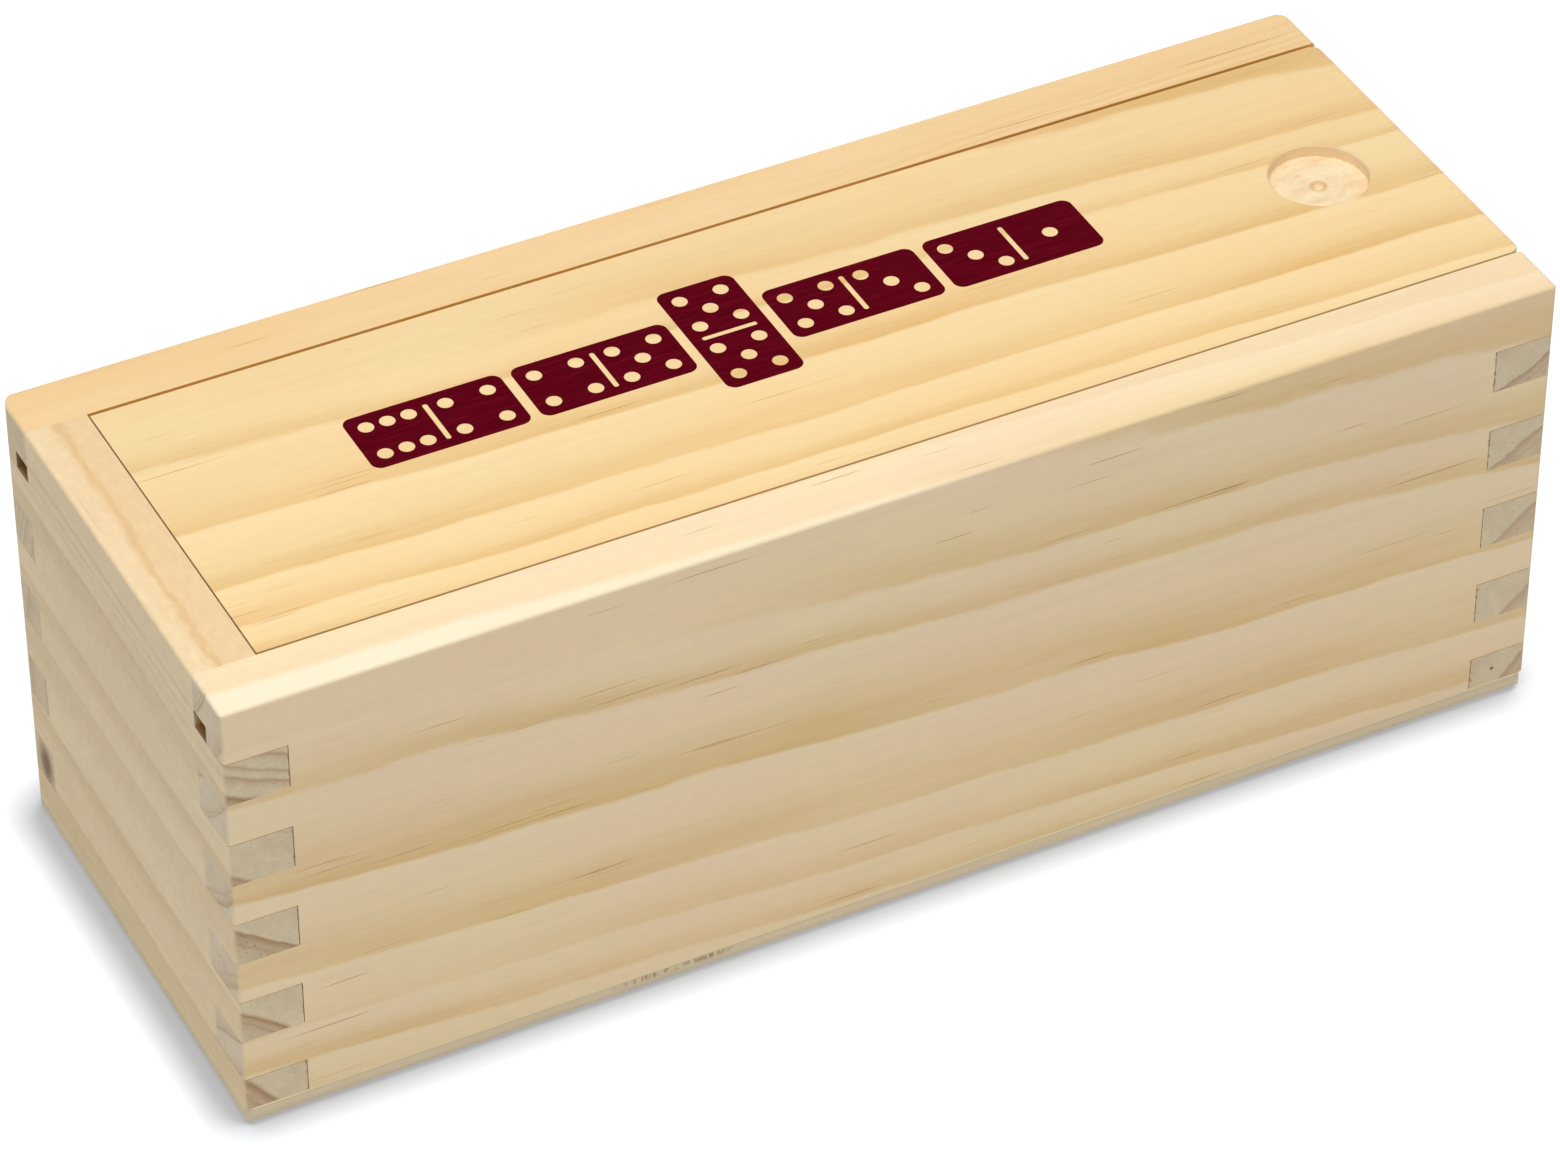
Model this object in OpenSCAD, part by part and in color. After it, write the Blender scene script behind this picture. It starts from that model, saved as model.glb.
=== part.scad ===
// Wooden storage box with a sliding lid, for a set of 28 domino tiles.
// The origin is on the surface that the box stands on, under the middle of the box.
// +X points to the open end, where the lid comes out, +Y to the rear side, +Z up.

/* [Box] */
// Outside length, along the way the lid slides
box_l = 188; // [150:1:260]
// Outside width, over the two long sides
box_w = 70; // [54:1:110]
// Outside height, with the bottom panel
box_h = 68; // [45:1:120]
// Thickness of the four pine walls
wall_t = 8.5; // [7:0.25:11]
// Thickness of the plywood bottom panel
bottom_t = 3; // [2:0.5:5]
// Radius of the sanded edges along the top
edge_r = 0.5; // [0.3:0.1:2]
// Radius of the eased edges along the bottom
base_r = 1.6; // [0.3:0.1:2]
// Radius of the two upright corners at the front
front_corner_r = 0.5; // [0.3:0.1:3]
// Radius of the two upright corners at the rear, which have been sanded more
rear_corner_r = 2.6; // [0.3:0.1:3]
// Radius of the plywood's own four corners
ply_corner_r = 1.3; // [0.5:0.1:4]

/* [Finger joints] */
// Height of one finger, and of the gap under it
finger_h = 6.5; // [4:0.25:10]

/* [Lid groove] */
// Depth of the groove's floor under the rims, which is also the height of each side's top finger
groove_floor = 8; // [7:0.25:12]
// Height of the groove
groove_h = 2.6; // [2:0.1:4]
// Depth of the groove into the wall
groove_d = 3.6; // [2.5:0.1:5]

/* [Lid] */
// Width of each tongue beyond the lid's top face
tongue_w = 3.1; // [2:0.1:4]
// Radius of the two sanded corners at the lid's outer end
lid_corner_r = 2; // [0.5:0.1:2.5]
// Radius of the sanded top edge at the lid's outer end
lid_edge_r = 0.8; // [0.3:0.1:2]
// How far the shut lid stands out of the open end
lid_proud = 0.3; // [0:0.1:1]

/* [Finger recess] */
// Diameter of the drilled finger recess
recess_d = 13.5; // [10:0.5:22]
// Depth of the finger recess
recess_depth = 1.8; // [1:0.1:4]
// Chamfer round the edge of the recess
recess_rim = 0.2; // [0.1:0.1:0.6]
// Distance from the open end to the middle of the recess
recess_inset = 15; // [12:0.5:40]
// Diameter of the mark left by the drill's centre point
point_d = 1.8; // [1:0.1:3]
// Depth of that mark under the recess floor
point_depth = 1; // [0.3:0.1:1.5]

/* [Bottom pins] */
// Diameter of a headless panel pin
pin_d = 1.2; // [0.8:0.1:1.6]
// Length of a pin
pin_l = 12; // [9:0.5:18]
// How far the pins are punched under the plywood's face
pin_sink = 0.3; // [0.1:0.1:0.8]
// Pins along each long side
side_pins = 4; // [2:1:8]
// Distance from the box's ends to the first and last pin of a long side
pin_margin = 25; // [15:1:40]

/* [Clearances] */
// Glue line over each finger of an end wall, and at its shoulder
glue_gap = 0.12; // [0.05:0.01:0.3]
// Gap between the lid's top and the front rim, where the lid has been pushed over
front_gap = 0.4; // [0.2:0.05:1]
// Gap between the lid's top and the rear rim
rear_gap = 0.5; // [0.2:0.05:1.2]
// Gap between the lid's top and the closed end
end_gap = 0.25; // [0.2:0.05:1]
// Gap under the tongues, on the groove's floor
run_gap = 0.1; // [0.05:0.05:0.4]
// Gap over the tongues
tongue_gap = 0.2; // [0.1:0.05:0.5]
// How far the lid's top lies under the rims
lid_drop = 0.05; // [0:0.05:0.8]

/* [Hidden] */
$fn = 64;
over = 1;  // how far a cutting solid runs past the face that it cuts
pine = [0.90, 0.78, 0.58];
pine_end = [0.80, 0.69, 0.50];
lid_pine = [0.94, 0.82, 0.60];
ply = [0.78, 0.68, 0.48];
steel = [0.66, 0.67, 0.69];

inner_l = box_l - 2 * wall_t;
inner_w = box_w - 2 * wall_t;
groove_z = box_h - groove_floor;  // height of the groove's floor, and of the open end's top edge
pitch = 2 * finger_h;
// A last finger that the bottom edge cuts is kept where at least half of it is left.
finger_count = floor((groove_z - bottom_t) / pitch + 0.75);
function finger_top(k) = groove_z - k * pitch;
function finger_bottom(k) = max(finger_top(k) - finger_h, bottom_t);

tongue_z = groove_z + run_gap;
tongue_h = groove_h - run_gap - tongue_gap;
lid_top = box_h - lid_drop;
lid_front = -inner_w / 2 + front_gap;
lid_rear = inner_w / 2 - rear_gap;
lid_inner = -inner_l / 2 + end_gap;
lid_outer = box_l / 2 + lid_proud;

pin_tip = pin_d;  // length of a pin's point
// Middle of each pin, under the middle of a wall's thickness
side_pin_x = [for (i = [0 : side_pins - 1]) -box_l / 2 + pin_margin
    + i * (box_l - 2 * pin_margin) / (side_pins - 1)];
side_pin_y = (box_w - wall_t) / 2;
end_pin_x = (box_l - wall_t) / 2;
pin_places = concat(
    [for (x = side_pin_x, y = [-side_pin_y, side_pin_y]) [x, y]],
    [[-end_pin_x, 0], [end_pin_x, 0]]);

// Half of a rectangle about the origin, from its middle up, with its two top corners rounded
module half_rectangle(size, r) {
    translate([-size.x / 2 + r, 0])
        square([size.x - 2 * r, size.y / 2]);
    translate([-size.x / 2, 0])
        square([size.x, size.y / 2 - r]);
    for (side = [-1, 1])
        translate([side * (size.x / 2 - r), size.y / 2 - r])
            circle(r);
}

// A rectangle about the origin with one radius on its two top corners and another on the bottom ones
module round_rectangle(size, top_r, bottom_r) {
    half_rectangle(size, top_r);
    mirror([0, 1])
        half_rectangle(size, bottom_r);
}

// A profile drawn in Y and Z, run along X from one place to another
module along_x(from, to) {
    translate([from, 0, 0])
        rotate([90, 0, 90])
            linear_extrude(to - from)
                children();
}

// The box's outline as seen from the front or from an end
module side_outline(width) {
    translate([0, box_h / 2])
        round_rectangle([width, box_h], edge_r, base_r);
}

// The outside of the glued-up box after sanding, which trims every piece that shows on the outside
module sanded_outside() {
    intersection() {
        linear_extrude(box_h)
            round_rectangle([box_l, box_w], rear_corner_r, front_corner_r);
        rotate([90, 0, 0])
            linear_extrude(box_w, center = true)
                side_outline(box_l);
        along_x(-box_l / 2, box_l / 2)
            side_outline(box_w);
    }
}

// The fingers of an end wall, as bars over the full width of the box; end is -1 closed, 1 open.
// The sockets that take them are larger by gap, over the fingers and at their shoulders.
module finger_bars(end, gap = 0) {
    x = end < 0 ? -box_l / 2 : box_l / 2 - wall_t - gap;
    for (k = [0 : finger_count - 1])
        translate([x, -box_w / 2, finger_bottom(k)])
            cube([wall_t + gap, box_w, finger_top(k) + gap - finger_bottom(k)]);
}

module pin_solid() {
    translate([0, 0, pin_sink]) {
        cylinder(d = pin_d, h = pin_l - pin_tip);
        translate([0, 0, pin_l - pin_tip])
            cylinder(d1 = pin_d, d2 = 0, h = pin_tip);
    }
}

module pin_holes() {
    for (p = pin_places)
        translate([p.x, p.y, 0]) {
            pin_solid();
            translate([0, 0, -over])
                cylinder(d = pin_d, h = over + pin_sink);
        }
}

// A long side; side is -1 front, 1 rear
module long_side(side) {
    inner_y = side * inner_w / 2;
    groove_y = side * (inner_w / 2 + groove_d);
    difference() {
        intersection() {
            translate([-box_l / 2, min(inner_y, side * box_w / 2), bottom_t])
                cube([box_l, wall_t, box_h - bottom_t]);
            sanded_outside();
        }
        finger_bars(-1, glue_gap);
        finger_bars(1, glue_gap);
        translate([-box_l / 2 - over, min(inner_y - side * over, groove_y), groove_z])
            cube([box_l + 2 * over, groove_d + over, groove_h]);
        pin_holes();
    }
}

module front_side() {
    color(pine) long_side(-1);
}

module rear_side() {
    color(pine) long_side(1);
}

// An end wall between the sides, up to the height top, with its fingers
module end_wall(end, top) {
    x = end < 0 ? -box_l / 2 : box_l / 2 - wall_t;
    intersection() {
        union() {
            translate([x, -inner_w / 2, bottom_t])
                cube([wall_t, inner_w, top - bottom_t]);
            finger_bars(end);
        }
        sanded_outside();
    }
}

module closed_end() {
    color(pine_end)
        difference() {
            end_wall(-1, box_h);
            translate([-inner_l / 2 - groove_d, -inner_w / 2 - over, groove_z])
                cube([groove_d + over, inner_w + 2 * over, groove_h]);
            pin_holes();
        }
}

module open_end() {
    color(pine_end)
        difference() {
            end_wall(1, groove_z);
            pin_holes();
        }
}

module bottom_panel() {
    color(ply)
        difference() {
            intersection() {
                linear_extrude(bottom_t)
                    round_rectangle([box_l, box_w], ply_corner_r, ply_corner_r);
                sanded_outside();
            }
            pin_holes();
        }
}

// The lid's outline from above, from its inner end, with its two outer corners rounded;
// side is how far it reaches beyond the board's long edges
module lid_plan(inner, side) {
    reach = 2 * lid_corner_r;  // the round outline's inner corners lie clear of the board
    width = lid_rear - lid_front + 2 * side;
    intersection() {
        translate([inner, lid_front - side])
            square([lid_outer - inner, width]);
        translate([(inner - reach + lid_outer) / 2, (lid_front + lid_rear) / 2])
            round_rectangle([lid_outer - inner + reach, width], lid_corner_r, lid_corner_r);
    }
}

// Trims the top edge at the board's outer end
module lid_edge() {
    reach = 2 * lid_edge_r;
    inner = lid_inner - tongue_w - reach;
    translate([(inner + lid_outer) / 2, 0, (tongue_z - reach + lid_top) / 2])
        rotate([90, 0, 0])
            linear_extrude(box_w, center = true)
                round_rectangle([lid_outer - inner, lid_top - tongue_z + reach], lid_edge_r, lid_edge_r);
}

module finger_recess() {
    translate([box_l / 2 - recess_inset, 0, lid_top - recess_depth]) {
        cylinder(d = recess_d, h = recess_depth + over);
        translate([0, 0, recess_depth - recess_rim])
            cylinder(d1 = recess_d, d2 = recess_d + 2 * (recess_rim + over), h = recess_rim + over);
        translate([0, 0, -point_depth])
            cylinder(d1 = 0, d2 = point_d, h = point_depth);
    }
}

module lid() {
    color(lid_pine)
        difference() {
            intersection() {
                translate([0, 0, tongue_z]) {
                    // the tongues along both edges and at the closed end, in one with the board's lower part
                    linear_extrude(tongue_h)
                        lid_plan(lid_inner - tongue_w, tongue_w);
                    linear_extrude(lid_top - tongue_z)
                        lid_plan(lid_inner, 0);
                }
                lid_edge();
            }
            finger_recess();
        }
}

module bottom_pins() {
    color(steel)
        for (p = pin_places)
            translate([p.x, p.y, 0])
                pin_solid();
}

front_side();
rear_side();
closed_end();
open_end();
bottom_panel();
lid();
bottom_pins();
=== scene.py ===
import math

import bpy
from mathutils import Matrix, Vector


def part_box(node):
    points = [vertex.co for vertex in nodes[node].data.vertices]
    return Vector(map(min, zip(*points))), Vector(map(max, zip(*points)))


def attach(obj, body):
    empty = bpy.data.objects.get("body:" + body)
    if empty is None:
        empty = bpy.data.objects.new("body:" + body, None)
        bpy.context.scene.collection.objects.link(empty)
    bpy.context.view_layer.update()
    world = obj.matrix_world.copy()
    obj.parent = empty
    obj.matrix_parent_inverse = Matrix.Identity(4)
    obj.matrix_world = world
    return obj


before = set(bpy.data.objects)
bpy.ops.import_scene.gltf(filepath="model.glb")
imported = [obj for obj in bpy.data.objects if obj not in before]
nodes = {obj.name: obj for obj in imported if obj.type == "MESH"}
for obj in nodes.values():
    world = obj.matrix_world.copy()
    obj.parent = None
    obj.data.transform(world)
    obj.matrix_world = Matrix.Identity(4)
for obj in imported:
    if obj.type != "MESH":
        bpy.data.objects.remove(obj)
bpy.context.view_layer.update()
mm = 0.001

bpy.ops.object.select_all(action="DESELECT")
print("frame loaded:", ", ".join(sorted(nodes)))


def paint(hexColour):
    # a colour as a paint chart writes it, turned into the linear values that Blender works in
    parts = [int(hexColour[i:i + 2], 16) / 255 for i in (0, 2, 4)]
    return (*[p / 12.92 if p < 0.04045 else ((p + 0.055) / 1.055) ** 2.4 for p in parts], 1)


class Shader:
    # the node tree of a material or a world, with short calls for the nodes that are used here

    def __init__(self, name, kind="materials"):
        self.owner = getattr(bpy.data, kind).new(name)
        self.owner.use_nodes = True
        self.tree = self.owner.node_tree
        self.tree.nodes.clear()

    def put(self, socket, value):
        if isinstance(value, bpy.types.NodeSocket):
            self.tree.links.new(value, socket)
        else:
            socket.default_value = value

    def add(self, kind, values=None, **settings):
        node = self.tree.nodes.new("ShaderNode" + kind)
        for key, value in settings.items():
            setattr(node, key, value)
        for key, value in (values or {}).items():
            self.put(node.inputs[key], value)
        return node

    def calc(self, operation, *values, clamp=False):
        return self.add("Math", dict(enumerate(values)), operation=operation, use_clamp=clamp).outputs[0]

    def product(self, first, *others):
        for other in others:
            first = self.calc("MULTIPLY", first, other)
        return first

    def minus(self, first, second):
        return self.calc("SUBTRACT", first, second)

    def distance(self, first, second):
        return self.calc("ABSOLUTE", self.minus(first, second))

    def within(self, value, low, high):
        # 1 between the two, and 0 outside
        return self.product(self.calc("GREATER_THAN", value, low), self.calc("LESS_THAN", value, high))

    def spread(self, value, low, high, toLow=0.0, toHigh=1.0):
        return self.add("MapRange", {0: value, 1: low, 2: high, 3: toLow, 4: toHigh}).outputs[0]

    def mix(self, factor, first, second, blend="MIX"):
        node = self.add("Mix", data_type="RGBA", blend_type=blend)
        colourInputs = [socket for socket in node.inputs if socket.type == "RGBA"]
        self.put(node.inputs["Factor"], factor)
        self.put(colourInputs[0], first)
        self.put(colourInputs[1], second)
        return next(socket for socket in node.outputs if socket.type == "RGBA")

    def tint(self, colour, tint):
        return self.mix(1.0, colour, tint, "MULTIPLY")

    def dim(self, colour, shade):
        # the colour, lighter or darker all alike
        return self.tint(colour, self.add("CombineColor", {0: shade, 1: shade, 2: shade}).outputs[0])

    def ramp(self, value, stops):
        # stops are places from 0 to 1, each with its colour
        node = self.add("ValToRGB", {0: value})
        elements = node.color_ramp.elements
        while len(elements) < len(stops):
            elements.new(1.0)
        for element, (place, colour) in zip(elements, stops):
            element.position = place
            element.color = colour
        return node.outputs[0]

    def noise(self, point, lengths, seed=0.0, detail=2.0, roughness=0.5):
        # lengths are the sizes in mm of one swell of the noise along each axis
        place = self.add("Mapping", {"Vector": point, "Location": (seed, seed * 1.7, seed * 2.3),
                                     "Scale": [1 / size for size in lengths]})
        return self.add("TexNoise", {"Vector": place.outputs[0], "Scale": 1.0, "Detail": detail,
                                     "Roughness": roughness}).outputs[0]

    def axes(self, vector):
        return self.add("SeparateXYZ", {0: vector}).outputs

    def length(self, x, y):
        offset = self.add("CombineXYZ", {0: x, 1: y, 2: 0.0}).outputs[0]
        return self.add("VectorMath", {0: offset}, operation="LENGTH").outputs["Value"]

    def objectPoint(self):
        # the place on the object, in mm
        place = self.add("TexCoord").outputs["Object"]
        return self.add("VectorMath", {0: place, 1: (1 / mm, 1 / mm, 1 / mm)},
                        operation="MULTIPLY").outputs[0]

    def facing(self):
        # how far the surface faces along each axis
        return self.axes(self.add("TexCoord").outputs["Normal"])

    def finish(self, colour, roughness, height, bumpDepth, specular=0.5, metallic=0.0):
        bump = self.add("Bump", {"Height": height, "Distance": bumpDepth * mm}).outputs[0]
        surface = self.add("BsdfPrincipled", {"Base Color": colour, "Roughness": roughness, "Normal": bump,
                                              "Specular IOR Level": specular, "Metallic": metallic})
        self.add("OutputMaterial", {"Surface": surface.outputs[0]})
        return self.owner


# Spans that most of a noise's values lie in. A narrower one gives it more contrast.
wide, middling, narrow = (0.25, 0.75), (0.3, 0.7), (0.35, 0.65)

# The camera stands where the photograph was taken from, off the corner by the closed end.
camera = {
    "azimuth": -27.11,  # degrees round from straight in front
    "elevation": 39.40,
    "place": (-314.9, -613.4, 593.9),
    "focalPixels": 6781,  # focal length in pixels of the picture
    "pictureWidth": 1560,
    "sensor": 36,
    "nearest": 10,  # mm, where its view starts
}


def addCamera(c):
    bpy.ops.object.camera_add(location=[v * mm for v in c["place"]])
    view = bpy.context.object
    view.name = "photoCamera"
    view.rotation_euler = (math.radians(90 - c["elevation"]), 0, math.radians(c["azimuth"]))
    view.data.sensor_fit = "HORIZONTAL"
    view.data.sensor_width = c["sensor"]
    view.data.lens = c["focalPixels"] / c["pictureWidth"] * c["sensor"]
    view.data.clip_start = c["nearest"] * mm
    bpy.context.scene.camera = view


white = (1, 1, 1, 1)

# A white table under a bright sky, with one soft lamp overhead, a little to the front.
studio = {
    "skyStrength": 0.435,
    "skyColour": (0.94, 0.97, 1.0, 1),
    "lampPlace": (-0.08, -0.12, 0.78),  # metres
    "lampSize": 0.6,
    "lampPower": 3.8,
    "lampColour": (1.0, 0.97, 0.93),
    "tableSize": 6.0,
    "tableDrop": 0.03,  # mm, how far the box's underside stays clear of it
    "openUnder": 0.5,  # mm, how close to it the underside gets light from below
    "tableColour": (0.80, 0.80, 0.81, 1),
    "tableSeen": (0.25, 0.265, 0.29, 1),  # the part of the white that the camera sees the shadow on
    "shadowReach": 6,  # mm, how far the painted shadow along the box's lower edges spreads over the table
    "shadowSpan": (0.5, 1.0),  # how open the table is to the light, at the painted shadow and clear of it
    "shadowGlow": (0.32, 0.87),  # the rest of the white, at the same two
    "shadowLean": (0.3, -0.12, 1),  # where the light comes from that the painted shadow is kept out of
}


def addSky(s):
    # the camera and the varnish see plain white in place of the sky that lights the box
    shader = Shader("studioSky", "worlds")
    bpy.context.scene.world = shader.owner
    ray = shader.add("LightPath").outputs
    seen = shader.calc("ADD", ray["Is Camera Ray"], ray["Is Glossy Ray"])
    sky = shader.add("Background", {"Color": s["skyColour"], "Strength": s["skyStrength"]}).outputs[0]
    plain = shader.add("Background", {"Color": white}).outputs[0]
    shader.add("OutputWorld", {"Surface": shader.add("MixShader", {0: seen, 1: sky, 2: plain}).outputs[0]})


def addLamp(s):
    bpy.ops.object.light_add(type="AREA", location=s["lampPlace"])
    lamp = bpy.context.object
    lamp.name = "overheadLamp"
    lamp.data.shape = "DISK"
    lamp.data.size = s["lampSize"]
    lamp.data.energy = s["lampPower"]
    lamp.data.color = s["lampColour"]
    lamp.rotation_euler = (-lamp.location).to_track_quat("-Z", "Y").to_euler()


def addTable(s):
    bpy.ops.mesh.primitive_plane_add(size=s["tableSize"], location=(0, 0, -s["tableDrop"] * mm))
    table = bpy.context.object
    table.name = "whiteTable"
    shader = Shader("whiteTable")
    ray = shader.add("LightPath").outputs
    seen = ray["Is Camera Ray"]
    lean = shader.add("VectorMath", {0: s["shadowLean"]}, operation="NORMALIZE").outputs[0]
    # painted shadow: an occlusion test, leaned to one side, takes the table's glow away near the box
    contactShadow = shader.add("AmbientOcclusion", {"Distance": s["shadowReach"] * mm, "Normal": lean}).outputs["AO"]
    glow = shader.product(shader.spread(contactShadow, *s["shadowSpan"], *s["shadowGlow"]), seen)
    light = shader.add("Emission", {"Color": white, "Strength": glow}).outputs[0]
    paperColour = shader.mix(seen, s["tableColour"], s["tableSeen"])
    paper = shader.add("BsdfDiffuse", {"Color": paperColour}).outputs[0]
    top = shader.add("AddShader", {0: paper, 1: light}).outputs[0]
    # from below the table is open, to the eye and to the light on the underside
    touching = shader.calc("LESS_THAN", ray["Ray Length"], s["openUnder"] * mm)
    below = shader.calc("MAXIMUM", shader.add("NewGeometry").outputs["Backfacing"],
                        shader.product(touching, shader.minus(1.0, seen)))
    clear = shader.add("BsdfTransparent").outputs[0]
    surface = shader.add("MixShader", {0: below, 1: top, 2: clear}).outputs[0]
    shader.add("OutputMaterial", {"Surface": surface})
    table.data.materials.append(shader.owner)
    table.select_set(False)


addCamera(camera)
addSky(studio)
addLamp(studio)
addTable(studio)
bpy.context.scene.view_settings.view_transform = "Standard"
print("camera, lamp and table ready")


def boxPlaces():
    # where the box's main faces lie, in mm from its middle and from the table
    side = [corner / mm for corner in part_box("front_side")]
    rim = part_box("closed_end")[1] / mm
    wall = side[1].y - side[0].y
    return {
        "end": side[1].x,
        "outer": rim.y,
        "inner": rim.y - wall,  # half the width between the long sides
        "shoulder": side[1].x - wall,  # from the middle to each end wall
        "grooveFloor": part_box("open_end")[1].z / mm,
        "top": rim.z,
        "lidTop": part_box("lid")[1].z / mm,
    }


box = boxPlaces()

# The cutters that made the grooves and the fingers, what they and the glue left behind, and the painted
# shade at the grooves' ends. Sizes are in mm.
cutting = {
    "grooveDepth": 3.6,
    "grooveHeight": 2.6,
    "fingerHeight": 6.5,
    "lip": 0.8,  # how far from a groove's wall the browned wood reaches
    "slack": 0.1,  # how far past the groove it is let run
    "clear": 0.3,  # how far it stops short of the box's outside
    "over": 0.05,  # how far past a groove's floor and roof they still count as the groove's own
    "short": 0.02,  # how far short of the rims' tops and the groove's mouth it stops
    "upright": (0.75, 0.35),  # how far a face may look up to count as upright
    "mouthShadeColour": paint("7A4A2A"),
    "mouthShadeDepth": 0.8,
    "glueColour": paint("8C6844"),
    "glueDepth": 0.45,
    "glueWidth": 0.45,  # half the width of a mark, at its widest
    "glueSpan": (0.5, 0.75),
    "patchSpan": (0.35, 0.6),
    "patchDepth": (0.3, 1.0),
    "glueReach": 0.6,  # how far in from the box's outside the marks are drawn
}

# What all the pine boards share
pine = {
    "ringStep": 0.5,  # mm, from a ring's dark edge to the pale start of the next
    "lineStart": 0.86,  # how far through a ring the dark line at its edge starts
    "lineDepth": (0.02, 0.34),  # how dark the fibres make that line
    "fadeSpan": (0.32, 0.68),
    "fadeDepth": (0.6, 1.1),  # how much late wood fades and gathers along the board
    "dawnPower": 7.0,  # how soon a ring's pale first wood is over
    "fibreDepth": 0.022,  # how much a fibre darkens or lightens the wood
    "bandFibreDepth": 0.07,  # the same in late wood
    "streakDepth": 0.022,
    "mottleDepth": 0.014,
    "fleckCut": (0.87, 0.93),  # how rare the flecks are, where a resin canal is cut open along the board
    "fleckGather": 0.22,
    "fleckInBand": 0.09,
    "fleckColour": paint("AE7A38"),
    "canalColour": paint("6E5234"),  # the same canals, cut across
    "canalDepth": 0.8,
    # end grain: how far through a ring its two brown lines lie, and how they and the wood between them look
    "outerLine": (0.91, 0.98),
    "innerLine": 0.84,
    "innerSharpness": 28.0,
    "innerDepth": 0.6,
    "lineClouds": (0.3, 0.6, 0.45, 1.0),
    "endPower": 2.5,
    "poreShade": (0.94, 1.05),
    "cloudShade": (-0.05, 0.05),
    "barkRough": 0.9,
    "barkEdge": (1.8, 0.9),
    # the height of each in the bump, and the whole bump's depth in mm
    "relief": {"fibre": 0.5, "band": 0.5, "fleck": -0.05, "pores": 0.8},
    "bumpDepth": 0.04,
    "roughness": (0.66, 0.56),  # of early and of late wood
    "specular": 0.3,
}

# The pine's noises: the size in mm of a swell along, across and up the board, how far its seed lies from the
# board's own, and then its detail and roughness.
noises = {
    "wave": ((40, 15, 15), 0, 1.0),
    "ripple": ((8, 3, 3), 5),
    "fade": ((45, 8, 8), 11, 1.0),
    "fibre": ((9, 0.28, 0.28), 17, 3.0, 0.6),
    "streak": ((55, 1.4, 1.4), 23),
    "mottle": ((1.3, 0.8, 0.8), 27),
    "blush": ((34, 9, 9), 29, 1.0),
    "canal": ((18, 0.34, 0.34), 31, 0.6),
    "gather": ((30, 7, 7), 33, 1.0),
    "pores": ((0.6, 0.22, 0.22), 37, 2.0, 0.7),
    "cloud": ((4, 2.2, 2.2), 43),
    "ragged": ((0.8, 4, 1.1), 51, 2.0, 0.6),
    "patch": ((60, 9, 9), 53, 1.0),
}


def pineNoise(shader, board, point, name):
    lengths, seed, *grain = noises[name]
    return shader.noise(point, lengths, board["seed"] + seed, *grain)


def grainPoint(shader, board):
    # the place in mm with the grain along x, and how squarely the surface cuts the fibres
    x, y, z = shader.axes(shader.objectPoint())
    facing = shader.facing()
    along, across, cut = (x, y, facing[0]) if board["grain"] == "x" else (y, x, facing[1])
    point = shader.add("CombineXYZ", {0: along, 1: across, 2: z}).outputs[0]
    return point, (along, across, z), shader.product(cut, cut)


def ringRadius(shader, board, point, place):
    # distance from the pith, which leans a little along the tree, with the waviness of real rings
    along, across, up = place
    (y0, z0), (leanY, leanZ) = board["pith"], board["lean"]
    dy = shader.minus(across, shader.calc("MULTIPLY_ADD", along, leanY, y0))
    dz = shader.minus(up, shader.calc("MULTIPLY_ADD", along, leanZ, z0))
    radius = shader.length(dy, dz)
    for name in ("wave", "ripple"):
        swing = shader.minus(pineNoise(shader, board, point, name), 0.5)
        radius = shader.calc("MULTIPLY_ADD", swing, board[name], radius)
    return radius


def ringPlace(shader, board, radius):
    # how far through its ring a place is, from 0 at the inner edge to 1 at the outer, how dark that ring's
    # late wood is, and how pale its first wood is
    rings = board["rings"]
    first, last = rings[0][0], rings[-1][0]
    stops = []
    for (inner, _, _), (edge, dark, pale) in zip(rings, rings[1:]):
        for radiusThere, through in ((inner + pine["ringStep"], 0), (edge, 1)):
            stops.append(((radiusThere - first) / (last - first), (through, dark, pale, 1)))
    return shader.add("SeparateColor", {0: shader.ramp(shader.spread(radius, first, last), stops)}).outputs


def lateWood(shader, board, point, place, radius, through, dark, fibre):
    # a swell of honey colour that levels off, then a thin darker line at the ring's outer edge
    power, gain, most = board["swell"]
    swell = shader.calc("MULTIPLY", shader.calc("POWER", through, power), gain, clamp=True)
    swell = shader.product(swell, most)
    line = shader.product(shader.spread(through, pine["lineStart"], 1.0),
                          shader.spread(fibre, *narrow, *pine["lineDepth"]))
    fade = shader.spread(pineNoise(shader, board, point, "fade"), *pine["fadeSpan"], *pine["fadeDepth"])
    band = shader.calc("MULTIPLY", shader.calc("ADD", swell, line), shader.product(dark, fade), clamp=True)
    for inner, outer, start, end, loss in board.get("lost", ()):
        lost = shader.within(radius, inner + pine["ringStep"], outer + pine["ringStep"])
        lost = shader.product(lost, shader.spread(place[0], start, end, 0.0, loss))
        band = shader.product(band, shader.minus(1.0, lost))
    return band


def faceGrain(shader, board, point, place, through, pale, band, fibre):
    dawn = shader.product(shader.calc("POWER", shader.minus(1.0, through), pine["dawnPower"]), pale)
    blush = shader.spread(pineNoise(shader, board, point, "blush"), *middling)
    face = shader.mix(blush, board["early"], board["blush"])
    face = shader.mix(dawn, face, board["dawn"])
    face = shader.mix(band, face, board["late"])

    depth = shader.calc("MULTIPLY_ADD", band, pine["bandFibreDepth"], pine["fibreDepth"])
    shade = shader.calc("MULTIPLY_ADD", shader.spread(fibre, *wide, -1, 1), depth, 1.0)
    for name in ("streak", "mottle"):
        size = pine[name + "Depth"]
        swing = shader.spread(pineNoise(shader, board, point, name), *wide, -size, size)
        shade = shader.calc("ADD", shade, swing)
    # painted light and shade, used on the lid: paler towards the front and darker towards the back
    shade = shader.calc("MULTIPLY_ADD", place[1], board.get("shadeAcross", 0.0), shade)
    return shader.dim(face, shade)


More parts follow.
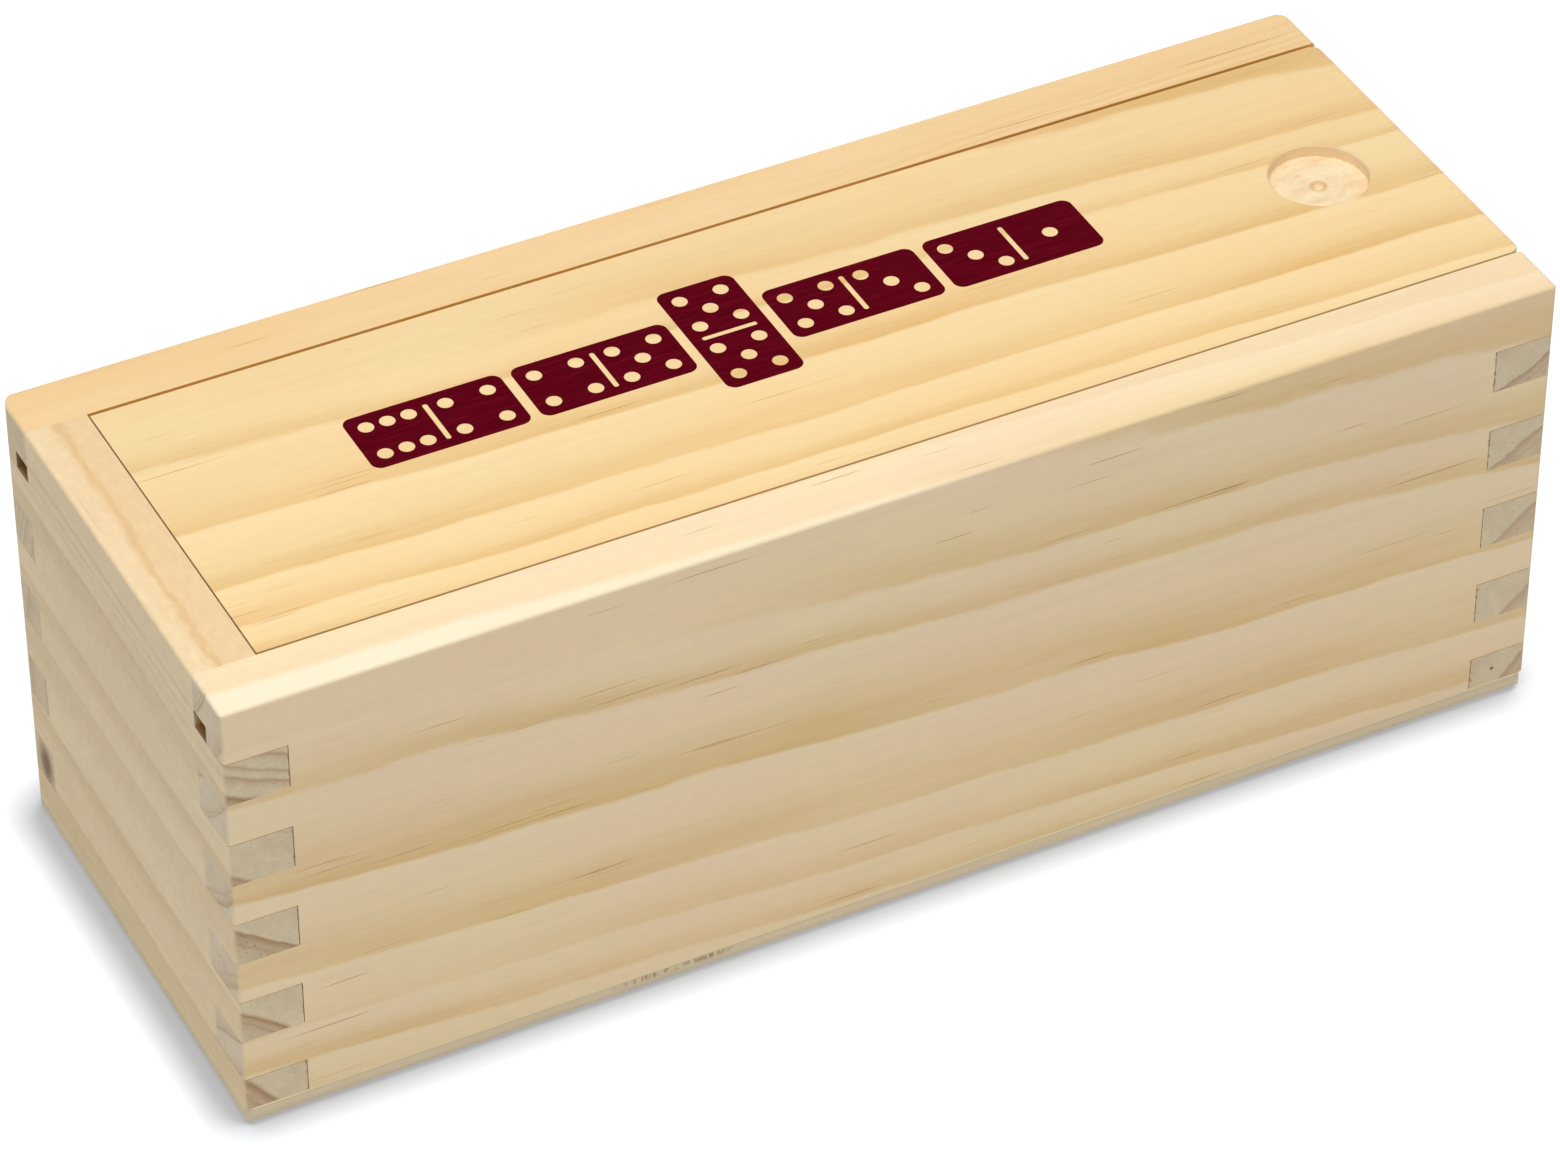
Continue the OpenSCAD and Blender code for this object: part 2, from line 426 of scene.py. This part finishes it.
def resinFlecks(shader, board, point, band):
    # resin canals gather in loose groups, mostly near the late wood
    gather = pineNoise(shader, board, point, "gather")
    canal = pineNoise(shader, board, point, "canal")
    canal = shader.calc("MULTIPLY_ADD", gather, pine["fleckGather"], canal)
    canal = shader.calc("MULTIPLY_ADD", band, pine["fleckInBand"], canal)
    return shader.spread(canal, *pine["fleckCut"])


def endGrain(shader, board, point, through, dark, fleck, pores):
    # the cut fibres drink the light, and a ring shows as two thin brown lines
    edge = shader.spread(through, *pine["outerLine"])
    away = shader.distance(through, pine["innerLine"])
    inner = shader.calc("SUBTRACT", 1.0, shader.product(pine["innerSharpness"], away), clamp=True)
    crisp = shader.calc("MULTIPLY", shader.calc("MULTIPLY_ADD", inner, pine["innerDepth"], edge),
                        shader.product(dark, board["endLines"]), clamp=True)
    cloud = pineNoise(shader, board, point, "cloud")
    end = shader.mix(shader.calc("POWER", through, pine["endPower"]), board["endEarly"], board["endMiddle"])
    end = shader.mix(shader.product(crisp, shader.spread(cloud, *pine["lineClouds"])), end, board["endLate"])
    end = shader.dim(end, shader.calc("ADD", shader.spread(pores, *wide, *pine["poreShade"]),
                                      shader.spread(cloud, *middling, *pine["cloudShade"])))
    return shader.mix(shader.product(fleck, pine["canalDepth"]), end, pine["canalColour"])


def barkPocket(shader, end, bark, place, pores):
    along, across, up = place
    offset = [shader.calc("DIVIDE", shader.minus(value, middle), size)
              for value, middle, size in zip((across, up), bark["place"], bark["size"])]
    away = shader.calc("MULTIPLY_ADD", pores, pine["barkRough"], shader.length(*offset))
    pocket = shader.spread(away, *pine["barkEdge"])
    pocket = shader.product(pocket, shader.calc("LESS_THAN", along, bark["along"]))
    return shader.mix(pocket, end, bark["colour"])


def grooveBrowningAndShade(shader, board, colour, point):
    # the cutter has browned the grooves and the lid's edges, and the same brown also stands in as painted
    # shade in these narrow gaps and hollows
    c = cutting
    x, y, z = shader.axes(point)
    toClosedEnd, away = shader.product(x, -1.0), shader.calc("ABSOLUTE", y)
    reach = box["inner"] + c["grooveDepth"] + c["slack"]
    alongSides = shader.within(away, box["inner"] - c["lip"], reach)
    acrossEnd = shader.within(toClosedEnd, box["shoulder"] - c["lip"],
                              box["shoulder"] + c["grooveDepth"] + c["slack"])
    acrossEnd = shader.product(acrossEnd, shader.calc("LESS_THAN", away, reach))
    stainAndShade = shader.product(shader.calc("MAXIMUM", alongSides, acrossEnd),
                           shader.within(z, box["grooveFloor"] - c["over"], box["top"] - c["short"]),
                           shader.within(x, -box["end"] + c["clear"], box["end"] - c["clear"]))
    # of the rims and the lid's top only the upright faces are brown, partly the saw's browning and partly
    # painted shade in the gaps beside the lid
    upright = shader.spread(shader.calc("ABSOLUTE", shader.facing()[2]), *c["upright"])
    grooveTop = box["grooveFloor"] + c["grooveHeight"] + c["over"]
    groove = shader.calc("LESS_THAN", z, grooveTop)
    stainAndShade = shader.product(stainAndShade, shader.calc("MAXIMUM", upright, groove))
    # the brown here is partly the saw's own and partly painted shade
    brownAndShade = shader.tint(colour, board["sawnShadeTint"])
    colour = shader.mix(shader.product(stainAndShade, board["sawnAndShade"]), colour, brownAndShade)
    # painted shade darkens the ends of the side grooves, which show beside the closed end
    mouthShade = shader.product(shader.within(away, box["inner"] + c["short"], reach),
                           shader.spread(toClosedEnd, box["shoulder"], box["end"]),
                           shader.within(z, box["grooveFloor"] - c["over"], grooveTop))
    return shader.mix(shader.product(mouthShade, c["mouthShadeDepth"]), colour, c["mouthShadeColour"])


def glueMarks(shader, board, colour, point):
    # glue and dust sit in broken lines along the fingers' shoulders
    c = cutting
    x, y, z = shader.axes(point)
    ragged = pineNoise(shader, board, point, "ragged")
    patch = shader.spread(pineNoise(shader, board, point, "patch"), *c["patchSpan"], *c["patchDepth"])
    width = shader.product(shader.spread(ragged, *c["glueSpan"], 0.0, c["glueWidth"]), patch)
    fromShoulder = shader.distance(shader.calc("ABSOLUTE", x), box["shoulder"])
    step = shader.calc("FLOORED_MODULO", shader.minus(box["grooveFloor"], z), 2 * c["fingerHeight"])
    atOutside = shader.calc("GREATER_THAN", shader.calc("ABSOLUTE", y), box["outer"] - c["glueReach"])
    mark = shader.product(shader.calc("LESS_THAN", fromShoulder, width),
                          shader.within(step, 0, c["fingerHeight"]),
                          shader.calc("LESS_THAN", z, box["grooveFloor"]), atOutside)
    return shader.mix(shader.product(mark, c["glueDepth"]), colour, c["glueColour"])


def pineMaterial(name, board, extra=None):
    shader = Shader(name)
    point, place, cut = grainPoint(shader, board)
    radius = ringRadius(shader, board, point, place)
    through, dark, pale = ringPlace(shader, board, radius)
    fibre = pineNoise(shader, board, point, "fibre")
    pores = pineNoise(shader, board, point, "pores")
    band = lateWood(shader, board, point, place, radius, through, dark, fibre)
    fleck = resinFlecks(shader, board, point, band)

    face = faceGrain(shader, board, point, place, through, pale, band, fibre)
    face = shader.mix(shader.product(fleck, board["flecks"]), face, pine["fleckColour"])
    end = endGrain(shader, board, point, through, dark, fleck, pores)
    if "bark" in board:
        end = barkPocket(shader, end, board["bark"], place, pores)
    colour = shader.mix(cut, face, end)
    if extra:
        colour = extra(shader, colour, radius)
    for worked in (grooveBrowningAndShade, glueMarks):
        colour = worked(shader, board, colour, shader.objectPoint())

    relief = pine["relief"]
    height = shader.calc("MULTIPLY_ADD", fibre, relief["fibre"], shader.product(band, relief["band"]))
    height = shader.calc("MULTIPLY_ADD", fleck, relief["fleck"], height)
    height = shader.calc("MULTIPLY_ADD", shader.product(pores, cut), relief["pores"], height)
    rough = shader.spread(band, 0.0, 1.0, *pine["roughness"])
    return shader.finish(colour, rough, height, pine["bumpDepth"], pine["specular"])


def dress(name, material):
    mesh = nodes[name].data
    mesh.materials.clear()
    mesh.materials.append(material)


# Places of the pith and of the ring edges are in mm, across the board and up, from the box's own origin.
# Each ring has its outer edge, how dark its late wood is and how pale its first wood is.
frontSide = {
    "grain": "x",
    "pith": (-0.2, 78.8),
    "lean": (-0.0275, -0.039),
    "rings": ((20, 0, 0), (29, 0.2, 0.1), (35.7, 0.85, 0.2), (42.3, 0.75, 0.25), (47.2, 0.85, 0.15),
              (58.6, 0.9, 0.2), (70.0, 0.75, 0.2), (77.7, 0.75, 0.2), (83.0, 0.75, 0.1), (90, 0.7, 0.1)),
    "swell": (3.0, 2.2, 0.62),  # how late in the ring it rises, how steeply, and the most it reaches
    "wave": 2.4,
    "ripple": 0.7,
    "seed": 3.0,
    "dawn": paint("FEF2D3"),
    "early": paint("FAE3B8"),
    "blush": paint("FADFBA"),
    "late": paint("E3BC72"),
    "flecks": 0.6,
    "endEarly": paint("E9D7B9"),
    "endMiddle": paint("DEC8A8"),
    "endLate": paint("A67C50"),
    "endLines": 0.5,
    "sawnAndShade": 0.9,  # how brown the saw and cutter have left the grooves and the edges beside the lid, with painted shade for the narrow gaps taken into it
    "sawnShadeTint": paint("FFE08A"),
}

# Towards the closed end the front rim's outer half is paler, from the ring that comes up along it.
rimWood = {
    "ring": 35.7,
    "edge": (-0.3, 0.7),  # mm, where it starts and is full, from that ring's edge
    "along": (40, -70),
    "depth": (0.6, 0.05),  # mm under the rim's top, the same
    "amount": 0.8,
    "colour": paint("FFF4D6"),
}


def paleRim(shader, face, radius):
    r = rimWood
    x, y, z = shader.axes(shader.objectPoint())
    start, full = (r["ring"] + step for step in r["edge"])
    low, high = (box["top"] - step for step in r["depth"])
    amount = shader.product(shader.spread(radius, start, full), shader.spread(x, *r["along"]),
                            shader.spread(z, low, high, 0.0, r["amount"]))
    return shader.mix(amount, face, r["colour"])


frontBoard = {
    **frontSide,
    # rings that lose their late wood, or part of it: the two radii, two places along the board, and how much
    "lost": ((29, 35.7, 45, -5, 0.95), (35.7, 42.3, 5, -40, 1.0), (70, 77.7, 0, -60, 0.6)),
    "sawnAndShade": 0.15,
}
dress("front_side", pineMaterial("frontPine", frontBoard, paleRim))

rearSide = {
    **frontSide,
    "pith": (-30.0, 30.0),
    "lean": (0.012, 0.05),
    "rings": ((50, 0, 0), (58, 0.4, 0.1), (63.2, 0.35, 0.1), (65.6, 0.75, 0.1), (66.7, 0.7, 0.1),
              (67.9, 0.65, 0.1), (69.5, 0.3, 0), (80, 0.2, 0)),
    "seed": 41.0,
    "dawn": paint("FBDDB0"),
    "early": paint("F5D4A1"),
    "blush": paint("F3CD97"),
    "late": paint("E9BE80"),
    "flecks": 0.7,
    "endEarly": paint("E3D0AE"),
    "endMiddle": paint("D8C19E"),
    "endLines": 0.4,
    "sawnAndShade": 1.0,
    "sawnShadeTint": paint("FFE3A0"),
    # painted light: lifts the outer face above its own colour
    "backLightTint": (1.03, 1.11, 1.22, 1),
    "backLightDepth": (0.4, 0.1),  # mm under the outer face, where that tint starts and is full
    # a dark pocket of bark in the lowest finger at the closed end: its place and half size in mm
    "bark": {"along": -80, "place": (29.3, 11.0), "size": (2.0, 2.9), "colour": paint("8C7558")},
}


def paleAndLitBack(shader, face, radius):
    # the board's outer face is nearer the bark, and paler, and it is lifted further as painted light against
    # the shade it stands in
    y = shader.axes(shader.objectPoint())[1]
    start, full = (box["outer"] - depth for depth in rearSide["backLightDepth"])
    return shader.mix(shader.spread(y, start, full), face, shader.tint(face, rearSide["backLightTint"]))


dress("rear_side", pineMaterial("rearPine", rearSide, paleAndLitBack))

closedEnd = {
    **frontSide,
    "grain": "y",
    "pith": (-134.0, -35.0),
    "lean": (0.0, 0.01),
    "rings": ((45, 0, 0), (59, 0.7, 0.2), (68, 0.75, 0.2), (79.3, 0.6, 0.1), (86.8, 0.7, 0.2),
              (99.4, 0.85, 0.2), (102.2, 0.3, 0), (103.7, 0.5, 0), (106, 0.7, 0), (112, 0.05, 0),
              (120, 0.1, 0)),
    "wave": 1.8,
    "seed": 71.0,
    "dawn": paint("F8E6C0"),
    "early": paint("F8E3BC"),
    "blush": paint("F6DDB6"),
    "late": paint("DFC494"),
    "flecks": 0.15,
    "endEarly": paint("E4D2B0"),
    "endMiddle": paint("C6A987"),
    "endLate": paint("9A6C42"),
    "endLines": 0.8,
    "sawnAndShade": 0.7,
}

# Along the closed end's top runs the edge of one ring, with pinker wood beyond it. Sizes are in mm.
innerWood = {
    "ring": 112,
    "edge": (-0.55, 0.05),  # from the ring's edge, where that wood starts and is full
    "amount": 0.8,
    "colour": paint("F1D2A7"),
    "lineAt": 0.1,
    "lineWidth": (0.28, 0.03),
    "lineDepth": 0.42,
    "lineColour": paint("DDB676"),
    "wander": ((1.5, 3, 3), 14.0, 3.0, 0.7),
    "wanderSize": 0.7,
    "patches": ((0.9, 1.8, 0.9), 19.0, 3.0, 0.7),
    "patchShade": (0.95, 1.045),
    "topTint": paint("FCF8F2"),
    "topDepth": (0.5, 0.2),
}


def pinkInnerWood(shader, face, radius):
    w = innerWood
    point = shader.objectPoint()
    wander = shader.noise(point, *w["wander"])
    radius = shader.calc("MULTIPLY_ADD", wander, w["wanderSize"], shader.minus(radius, w["wanderSize"] / 2))
    away = shader.distance(radius, w["ring"] + w["lineAt"])
    start, full = (w["ring"] + step for step in w["edge"])
    face = shader.mix(shader.spread(radius, start, full, 0.0, w["amount"]), face, w["colour"])
    face = shader.mix(shader.spread(away, *w["lineWidth"], 0.0, w["lineDepth"]), face, w["lineColour"])
    # the end grain of its early wood takes the light in patches
    patches = shader.noise(point, *w["patches"])
    face = shader.dim(face, shader.spread(patches, *middling, *w["patchShade"]))
    low, high = (box["top"] - depth for depth in w["topDepth"])
    top = shader.spread(shader.axes(point)[2], low, high)
    return shader.mix(top, face, shader.tint(face, w["topTint"]))


dress("closed_end", pineMaterial("closedEndPine", closedEnd, pinkInnerWood))

openEnd = {
    **closedEnd,
    "pith": (134.0, -33.0),
    "rings": ((45, 0, 0), (57, 0.6, 0.1), (66, 0.5, 0.1), (77, 0.5, 0.1), (88, 0.6, 0.1), (99.4, 0.9, 0.1),
              (108, 0.6, 0), (116, 0.6, 0)),
    "wave": 4.5,
    "ripple": 1.3,
    "seed": 97.0,
    "endMiddle": paint("D3B999"),
    "endLines": 0.4,
    # a small knot in the lowest finger at the front
    "bark": {"along": -30, "place": (88.9, 5.35), "size": (0.25, 0.25), "colour": paint("3B2C1C")},
}
dress("open_end", pineMaterial("openEndPine", openEnd))

lidBoard = {
    **frontSide,
    "pith": (33.6, 35.05),
    "lean": (0.004, 0.039),
    "rings": ((18, 0, 0), (32.0, 0.9, 0.2), (37.8, 0.85, 0.2), (41.6, 0.8, 0.2), (49.9, 0.95, 0.35),
              (58.8, 0.95, 0.4), (65.1, 0.8, 0.4), (69.6, 0.9, 0.3), (76, 0.9, 0.2)),
    "swell": (3.4, 2.0, 0.53),
    "lost": ((32.0, 37.8, 0, -40, 1.0),),
    "seed": 127.0,
    "shadeAcross": -0.0011,  # painted light and shade: how much paler the board gets for each mm across, towards the front, and darker towards the back
    "dawn": paint("FDE4B2"),
    "early": paint("F6DAA5"),
    "blush": paint("F8D69F"),
    "late": paint("DCAD60"),
    "flecks": 0.45,
    "sawnAndShade": 0.05,
}

# The finger recess is cut into fresh pale wood, scored in rings round the mark of the drill's point. Its
# wall is made paler as painted light against the shade in the recess.
fingerRecess = {
    "fromEnd": 15,  # mm, from the open end to its middle
    "radius": 6.75,
    "depth": 1.8,
    "edge": 0.05,  # mm, how far past the recess its own colours reach
    "rim": 0.1,  # mm, how far down its wall starts
    "floorColour": paint("FBE7C3"),
    "patchColour": paint("EFD3AC"),
    "patchSpan": (0.42, 0.66),
    "grainLeft": 0.15,
    "wallLitColour": paint("F6DDB4"),
    "wallLitAmount": 0.8,
    "smudge": ((3.2, 1.6, 3), 8.0, 3.0, 0.6),
    "markRadius": 0.95,
    "markWidth": (0.4, 0.1),
    "markAmount": 0.7,
    "markColour": paint("DDB072"),
    "toolRing": 1.1,  # mm, between the rings that the drill's edge scores in the floor
    "toolWander": 1.2,
    "toolDepth": 0.014,
}


def drilledFloor(shader, face, radius):
    r = fingerRecess
    point = shader.objectPoint()
    x, y, z = shader.axes(point)
    fromMiddle = shader.length(shader.minus(x, box["end"] - r["fromEnd"]), y)
    smudge = shader.noise(point, *r["smudge"])
    inside = shader.calc("LESS_THAN", fromMiddle, r["radius"] + r["edge"])
    wall = shader.product(inside, shader.calc("LESS_THAN", z, box["lidTop"] - r["rim"]))
    sunk = shader.product(inside, shader.calc("LESS_THAN", z, box["lidTop"] - r["depth"] + r["edge"]))
    wandering = shader.calc("MULTIPLY_ADD", smudge, r["toolWander"], fromMiddle)
    score = shader.calc("SINE", shader.product(wandering, 2 * math.pi / r["toolRing"]))
    floor = shader.mix(shader.spread(smudge, *r["patchSpan"]), r["floorColour"], r["patchColour"])
    floor = shader.mix(r["grainLeft"], floor, face)
    mark = shader.distance(fromMiddle, r["markRadius"])
    floor = shader.mix(shader.spread(mark, *r["markWidth"], 0.0, r["markAmount"]), floor, r["markColour"])
    floor = shader.dim(floor, shader.calc("MULTIPLY_ADD", score, r["toolDepth"], 1.0))
    # painted light: the recess wall is made paler against the shade that darkens it
    face = shader.mix(shader.product(wall, r["wallLitAmount"]), face, r["wallLitColour"])
    return shader.mix(sunk, face, floor)


dress("lid", pineMaterial("lidPine", lidBoard, drilledFloor))
print("pine boards dressed")

# Thin face veneers on a thick core, whose grain runs across the box. Sizes are in mm.
plywood = {
    "veneerThickness": 0.4,
    "thickness": 3.0,
    "glueThickness": 0.12,
    "blur": 0.05,  # how softly a veneer meets its glue
    "coreBlur": 0.2,
    "wobble": ((12, 12, 40), 3.0),
    "wobbleSize": 0.25,
    "veneer": paint("F6E6BC"),
    "core": paint("E9D7B6"),
    "coreDark": paint("8F7C60"),
    "glueLine": paint("CDB890"),
    "cell": ((0.8, 14, 0.5), 5.0, 3.0, 0.65),  # the core's cut cells
    "cellSpan": (0.62, 0.8),
    "cellDepth": 0.25,
    "roughPlace": (-34, 10),  # middle and half length of a torn stretch of the front edge
    "roughDepth": (-30, -34),
    "roughHeights": (1.5, 2.7),
    "roughRise": (0.5, 0.2),  # over how much height it starts and ends
    "tear": ((0.7, 3, 2.5), 6.0, 2.0, 0.7),
    "tearSpan": (0.45, 0.62),
    "tearDepth": 0.75,
    "grain": ((20, 0.5, 0.5), 7.0, 3.0, 0.6),
    "grainSpan": (0.2, 0.8),
    "grainShade": (0.94, 1.04),
    "bands": ((90, 6, 6), 9.0),
    "bandShade": (-0.04, 0.04),
    "roughness": 0.7,
    "bumpDepth": 0.05,
    "specular": 0.3,
}


def tornEdge(shader, p, point, x, y, z):
    middle, half = p["roughPlace"]
    low, high = p["roughHeights"]
    starts, ends = p["roughRise"]
    torn = shader.spread(shader.distance(x, middle), half, half * 0.5)
    torn = shader.product(torn, shader.spread(y, *p["roughDepth"]))
    torn = shader.product(torn, shader.product(shader.spread(z, low, low + starts),
                                               shader.spread(z, high + ends, high - ends)))
    tear = shader.noise(point, *p["tear"])
    return shader.product(torn, shader.spread(tear, *p["tearSpan"]), p["tearDepth"])


def plywoodMaterial(p):
    shader = Shader("plywood")
    point = shader.objectPoint()
    x, y, z = shader.axes(point)
    low = p["veneerThickness"]
    high = p["thickness"] - low
    steps = ((0.0, p["veneer"]), (low - p["blur"], p["veneer"]), (low, p["glueLine"]),
             (low + p["glueThickness"], p["core"]), (high - p["glueThickness"], p["core"]),
             (high, p["glueLine"]), (high + p["blur"], p["veneer"]))
    swing = shader.minus(shader.noise(point, *p["wobble"]), 0.5)
    level = shader.calc("MULTIPLY_ADD", swing, p["wobbleSize"], z)
    layers = shader.ramp(shader.spread(level, 0, p["thickness"]),
                         [(place / p["thickness"], colour) for place, colour in steps])

    inCore = shader.product(shader.spread(z, low, low + p["coreBlur"]),
                            shader.spread(z, high, high - p["coreBlur"]))
    cells = shader.product(shader.spread(shader.noise(point, *p["cell"]), *p["cellSpan"]), p["cellDepth"])
    dark = shader.calc("MAXIMUM", tornEdge(shader, p, point, x, y, z), cells)
    colour = shader.mix(shader.product(dark, inCore), layers, p["coreDark"])
    grain = shader.noise(point, *p["grain"])
    bands = shader.noise(point, *p["bands"])
    colour = shader.dim(colour, shader.calc("ADD", shader.spread(grain, *p["grainSpan"], *p["grainShade"]),
                                            shader.spread(bands, *middling, *p["bandShade"])))
    return shader.finish(colour, p["roughness"], grain, p["bumpDepth"], p["specular"])


dress("bottom_panel", plywoodMaterial(plywood))

steel = {
    "scratch": ((0.3, 0.3, 2), 2.0, 3.0),
    "dark": paint("8C8D90"),
    "bright": paint("B9BABC"),
    "roughSpan": (0.2, 0.8),
    "roughness": (0.3, 0.5),
    "bumpDepth": 0.01,
}


def steelMaterial(s):
    shader = Shader("pinSteel")
    scratch = shader.noise(shader.objectPoint(), *s["scratch"])
    colour = shader.mix(scratch, s["dark"], s["bright"])
    rough = shader.spread(scratch, *s["roughSpan"], *s["roughness"])
    return shader.finish(colour, rough, scratch, s["bumpDepth"], metallic=1.0)


dress("bottom_pins", steelMaterial(steel))
print("plywood and pins dressed")

# A line of domino play, printed on the lid in dark red: each pair of numbers is one tile, and the pair of
# fives lies across the line. Sizes are in mm.
dominoPrint = {
    "middle": (-5.5, 5.1),  # on the lid
    "tile": (22, 11),
    "corner": 1.4,
    "cornerSteps": 8,
    "gap": 1.4,
    "pip": 2.1,
    "pipSpacing": 2.95,
    "pipSides": 40,
    "divider": (0.7, 7.8),
    "dividerRounding": 0.45,  # of its width
    "dividerSteps": 6,
    "cutterHeight": 1,
    "thickness": 0.05,
    "sunk": 0.02,  # how much of that lies in the wood
    "play": ((6, 4), (4, 5), (5, 5), (5, 3), (3, 1)),
    "ink": paint("560012"),
    "inkThin": paint("6C0A1C"),
    "film": ((6, 0.4, 0.4), 4.0, 3.0, 0.6),  # the ink's streaks, along the wood's fibres
    "thinSpan": (0.45, 0.75),
    "roughSpan": (0.2, 0.8),
    "roughness": (0.42, 0.55),
    "bumpDepth": 0.01,
    "specular": 0.01,
}

pipPlaces = {
    1: ((0, 0),),
    2: ((-1, 1), (1, -1)),
    3: ((-1, 1), (0, 0), (1, -1)),
    4: ((-1, -1), (-1, 1), (1, -1), (1, 1)),
    5: ((-1, -1), (-1, 1), (1, -1), (1, 1), (0, 0)),
    6: ((-1, -1), (0, -1), (1, -1), (-1, 1), (0, 1), (1, 1)),
}


def selectOnly(*pieces):
    bpy.ops.object.select_all(action="DESELECT")
    for piece in pieces:
        piece.select_set(True)
    bpy.context.view_layer.objects.active = pieces[0]


def join(pieces):
    selectOnly(*pieces)
    bpy.ops.object.join()
    return pieces[0]


def roundUprightEdges(piece, radius, segments):
    selectOnly(piece)
    bpy.ops.object.mode_set(mode="EDIT")
    bpy.ops.mesh.select_mode(type="EDGE")
    bpy.ops.mesh.select_all(action="DESELECT")
    bpy.ops.object.mode_set(mode="OBJECT")
    points = piece.data.vertices
    for edge in piece.data.edges:
        first, second = (points[i].co for i in edge.vertices)
        edge.select = (first - second).xy.length < 0.001
    bpy.ops.object.mode_set(mode="EDIT")
    bpy.ops.mesh.bevel(offset=radius, segments=segments)
    bpy.ops.object.mode_set(mode="OBJECT")


def roundedSlab(size, radius, segments):
    bpy.ops.mesh.primitive_cube_add(size=1)
    slab = bpy.context.object
    slab.scale = size
    bpy.ops.object.transform_apply(location=False, rotation=False, scale=True)
    roundUprightEdges(slab, radius, segments)
    return slab


def printedTile(p, numbers, x, acrossLine):
    # one tile, made in mm, with its pips and its divider cut out of the ink
    length, width = p["tile"]
    tile = roundedSlab((length, width, p["thickness"]), p["corner"], p["cornerSteps"])
    cutters = []
    for side, number in zip((-1, 1), numbers):
        for column, row in pipPlaces[number]:
            place = (side * length / 4 + column * p["pipSpacing"], row * p["pipSpacing"], 0)
            bpy.ops.mesh.primitive_cylinder_add(vertices=p["pipSides"], radius=p["pip"] / 2,
                                                depth=p["cutterHeight"], location=place)
            cutters.append(bpy.context.object)
    cutters.append(roundedSlab((*p["divider"], p["cutterHeight"]), p["divider"][0] * p["dividerRounding"],
                               p["dividerSteps"]))
    cutter = join(cutters)
    cut = tile.modifiers.new("holes", "BOOLEAN")
    cut.object = cutter
    cut.solver = "EXACT"
    selectOnly(tile)
    bpy.ops.object.modifier_apply(modifier=cut.name)
    bpy.data.objects.remove(cutter)
    tile.rotation_euler.z = math.pi / 2 if acrossLine else 0
    tile.location.x = x
    bpy.ops.object.transform_apply(location=True, rotation=True, scale=False)
    return tile


def inkMaterial(p):
    shader = Shader("printInk")
    film = shader.noise(shader.objectPoint(), *p["film"])
    colour = shader.mix(shader.spread(film, *p["thinSpan"]), p["ink"], p["inkThin"])
    rough = shader.spread(film, *p["roughSpan"], *p["roughness"])
    return shader.finish(colour, rough, film, p["bumpDepth"], p["specular"])


def addPrint(p):
    length, width = p["tile"]
    widths = [width if first == second else length for first, second in p["play"]]
    x = -(sum(widths) + p["gap"] * (len(widths) - 1)) / 2
    tiles = []
    for numbers, room in zip(p["play"], widths):
        tiles.append(printedTile(p, numbers, x + room / 2, room == width))
        x += room + p["gap"]
    piece = join(tiles)
    piece.name = "dominoPrint"
    piece.scale = (mm, mm, mm)
    height = box["lidTop"] + p["thickness"] / 2 - p["sunk"]
    piece.location = [v * mm for v in (*p["middle"], height)]
    bpy.ops.object.transform_apply(location=True, rotation=True, scale=True)
    piece.data.materials.append(inkMaterial(p))
    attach(piece, "lid")
    bpy.ops.object.select_all(action="DESELECT")


addPrint(dominoPrint)
print("print laid on the lid")
